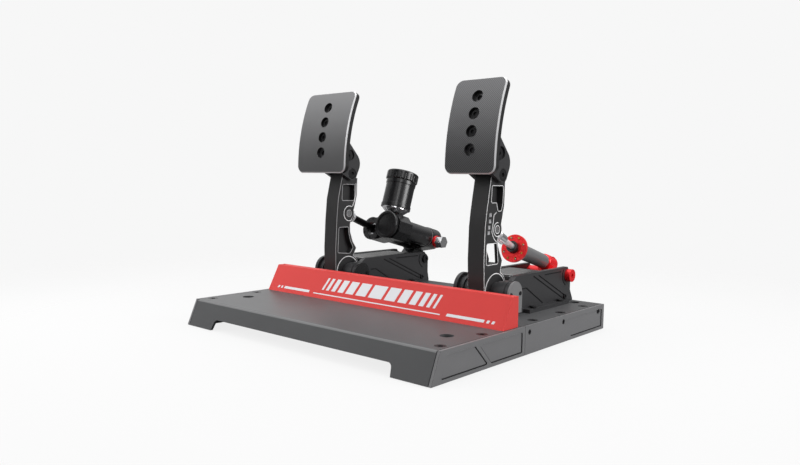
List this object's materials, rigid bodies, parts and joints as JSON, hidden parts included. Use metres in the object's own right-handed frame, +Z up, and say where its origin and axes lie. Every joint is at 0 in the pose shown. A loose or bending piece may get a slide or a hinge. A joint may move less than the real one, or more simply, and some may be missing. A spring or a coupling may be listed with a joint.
{
  "type": "sim racing pedal set",
  "caption": "Foot controller for driving games: base plate with side rails and heel stop, hydraulic brake pedal, damped throttle pedal, both with tilting curved faces.",
  "frame": {"origin": "middle of the overall box, on the floor plane under the rubber feet", "axes": "+X to the driver's right along the longest side, +Y away from the driver, +Z up"},
  "size_m": [0.36, 0.34, 0.2774],
  "materials": {
    "rail_coat": "satin powder coat",
    "deck_coat": "satin powder coat",
    "rubber_black": "matte",
    "black_screws": "black oxide",
    "stop_red": "matte powder coat",
    "dark_anodised": "bead blasted, anodised",
    "black_anodised": "satin, anodised",
    "bright_steel": "polished",
    "red_anodised": "satin, anodised",
    "face_metal": "fine machined grain, anodised",
    "cover_grey": "matte",
    "black_steel": "black, polished",
    "gloss_black": "gloss",
    "reservoir_black": "satin",
    "tube_grey": "satin, anodised"
  },
  "bodies": {
    "base": {"rail_front_left": "rail_coat", "rail_rear_left": "rail_coat", "rail_front_right": "rail_coat", "rail_rear_right": "rail_coat", "rubber_feet": "rubber_black", "front_deck": "deck_coat", "rear_deck": "deck_coat", "cross_beam": "deck_coat", "deck_screws": "black_screws", "rail_screws": "black_screws", "heel_stop": "stop_red", "heel_stop_screws": "black_screws", "brake_cheek_left": "dark_anodised", "brake_cheek_right": "dark_anodised", "brake_rear_block": "dark_anodised", "brake_top_plate": "dark_anodised", "brake_pivot_shaft": "bright_steel", "brake_pivot_drum": "black_anodised", "brake_sensor_barrel": "black_anodised", "brake_rear_bolt": "black_screws", "throttle_cheek_left": "dark_anodised", "throttle_cheek_right": "dark_anodised", "throttle_rear_block": "dark_anodised", "throttle_top_plate": "dark_anodised", "throttle_pivot_shaft": "bright_steel", "throttle_pivot_drum": "black_anodised", "throttle_sensor_barrel": "black_anodised", "throttle_rear_bolt": "red_anodised", "brake_sensor_cover": "black_anodised", "throttle_sensor_cover": "cover_grey", "module_bolts": "black_screws", "cheek_screws": "black_screws", "cover_screws": "black_screws", "brake_cylinder": "black_anodised", "brake_manifold": "black_anodised", "brake_end_block": "black_anodised", "brake_pressure_sensor": "bright_steel", "brake_reservoir": "reservoir_black"},
    "brake_pedal": {"brake_arm": "black_anodised", "brake_arm_pin": "bright_steel", "brake_tilt_screws": "black_screws"},
    "brake_footplate": {"brake_face": "face_metal", "brake_face_bracket": "dark_anodised", "brake_face_screws": "black_screws"},
    "brake_rod": {"brake_pushrod": "black_steel", "brake_lock_nut": "bright_steel"},
    "brake_plunger": {"brake_piston": "bright_steel"},
    "adjust_dial": {"brake_dial": "gloss_black"},
    "reservoir_lid": {"brake_reservoir_cap": "reservoir_black"},
    "throttle_pedal": {"throttle_arm": "black_anodised", "throttle_arm_pin": "bright_steel", "throttle_tilt_screws": "black_screws"},
    "throttle_footplate": {"throttle_face": "face_metal", "throttle_face_bracket": "dark_anodised", "throttle_face_screws": "black_screws"},
    "damper_rod": {"throttle_rod": "black_steel", "throttle_lock_nut": "bright_steel"},
    "damper_body": {"throttle_damper_flange": "red_anodised", "throttle_damper_tube": "tube_grey", "throttle_damper_knuckle": "red_anodised"}
  },
  "joints": [
    {"name": "brake_press", "type": "hinge", "parent": "base", "child": "brake_pedal", "pos_m": [-0.1115, 0.01246, 0.0537], "axis": [-1, 0, 0], "range_deg": [0, 9], "stiffness_Nm_per_rad": 40, "springref_deg": -1.72},
    {"name": "brake_face_tilt", "type": "hinge", "parent": "brake_pedal", "child": "brake_footplate", "pos_m": [-0.1115, 0.01396, 0.1778], "axis": [-1, 0, 0], "range_deg": [-8, 8]},
    {"name": "brake_rod_swing", "type": "hinge", "parent": "brake_pedal", "child": "brake_rod", "pos_m": [-0.1115, 0.01406, 0.1277], "axis": [-1, 0, 0], "range_deg": [-8, 1]},
    {"name": "brake_piston_slide", "type": "slide", "parent": "base", "child": "brake_plunger", "axis": [0, 0.9681, -0.2504], "range_m": [0, 0.012]},
    {"name": "dial_turn", "type": "hinge", "parent": "base", "child": "adjust_dial", "pos_m": [-0.0825, 0.06196, 0.11326], "axis": [0, 0.9681, -0.2504], "continuous": true},
    {"name": "reservoir_lid_turn", "type": "hinge", "parent": "base", "child": "reservoir_lid", "pos_m": [-0.0875, 0.08706, 0.1322], "axis": [0, 0.309, 0.9511], "continuous": true},
    {"name": "throttle_press", "type": "hinge", "parent": "base", "child": "throttle_pedal", "pos_m": [0.1115, 0.01246, 0.0537], "axis": [-1, 0, 0], "range_deg": [0, 16], "stiffness_Nm_per_rad": 8, "springref_deg": -3.44},
    {"name": "throttle_face_tilt", "type": "hinge", "parent": "throttle_pedal", "child": "throttle_footplate", "pos_m": [0.1115, 0.01396, 0.1778], "axis": [-1, 0, 0], "range_deg": [-8, 8]},
    {"name": "damper_rod_swing", "type": "hinge", "parent": "throttle_pedal", "child": "damper_rod", "pos_m": [0.1115, 0.01396, 0.1199], "axis": [-1, 0, 0], "range_deg": [-14.5, 1]},
    {"name": "damper_swing", "type": "hinge", "parent": "base", "child": "damper_body", "pos_m": [0.1115, 0.13896, 0.061], "axis": [-1, 0, 0], "range_deg": [-0.5, 3]}
  ],
  "couplings": [
    {"joint": "brake_rod_swing", "follows": "brake_press", "ratio": -0.80262},
    {"joint": "brake_piston_slide", "follows": "brake_press", "m_per_rad": 0.071172},
    {"joint": "damper_rod_swing", "follows": "throttle_press", "ratio": -0.83802},
    {"joint": "damper_swing", "follows": "throttle_press", "ratio": 0.16198}
  ]
}
